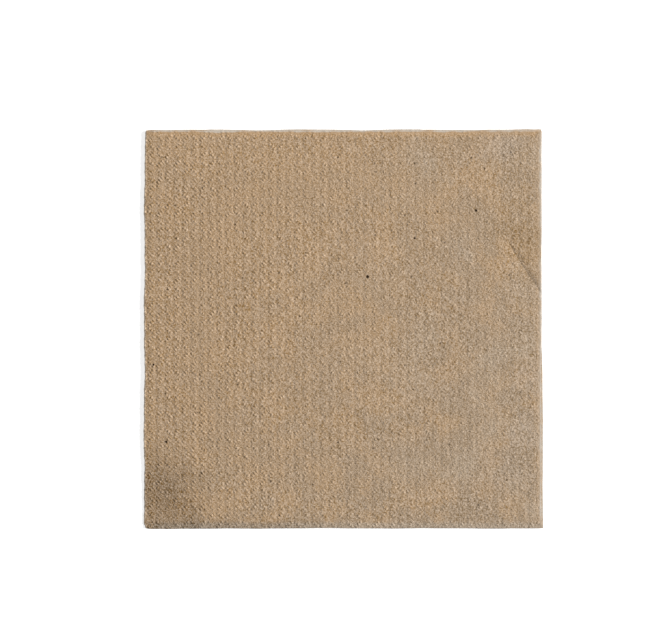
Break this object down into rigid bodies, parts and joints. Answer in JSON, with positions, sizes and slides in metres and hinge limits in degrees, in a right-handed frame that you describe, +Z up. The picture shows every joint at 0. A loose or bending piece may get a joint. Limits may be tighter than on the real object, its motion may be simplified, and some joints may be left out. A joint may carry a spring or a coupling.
{
  "type": "paper napkin",
  "caption": "Square unbleached kraft paper napkin, folded in half and in half again, lying flat, with a dotted diamond emboss.",
  "frame": {"origin": "centre of the folded napkin's underside, where it lies on the table", "axes": "+Z up out of the table, across the folded stack; -X is the second fold, -Y is the first fold, and +X and +Y are the cut edges"},
  "size_m": [0.1654, 0.1652, 0.0016],
  "materials": {
    "kraft_paper": "unbleached kraft tissue, matt, embossed with a dotted diamond lattice of about 7 mm cells"
  },
  "bodies": {
    "root": {"napkin": "kraft_paper"}
  },
  "joints": []
}
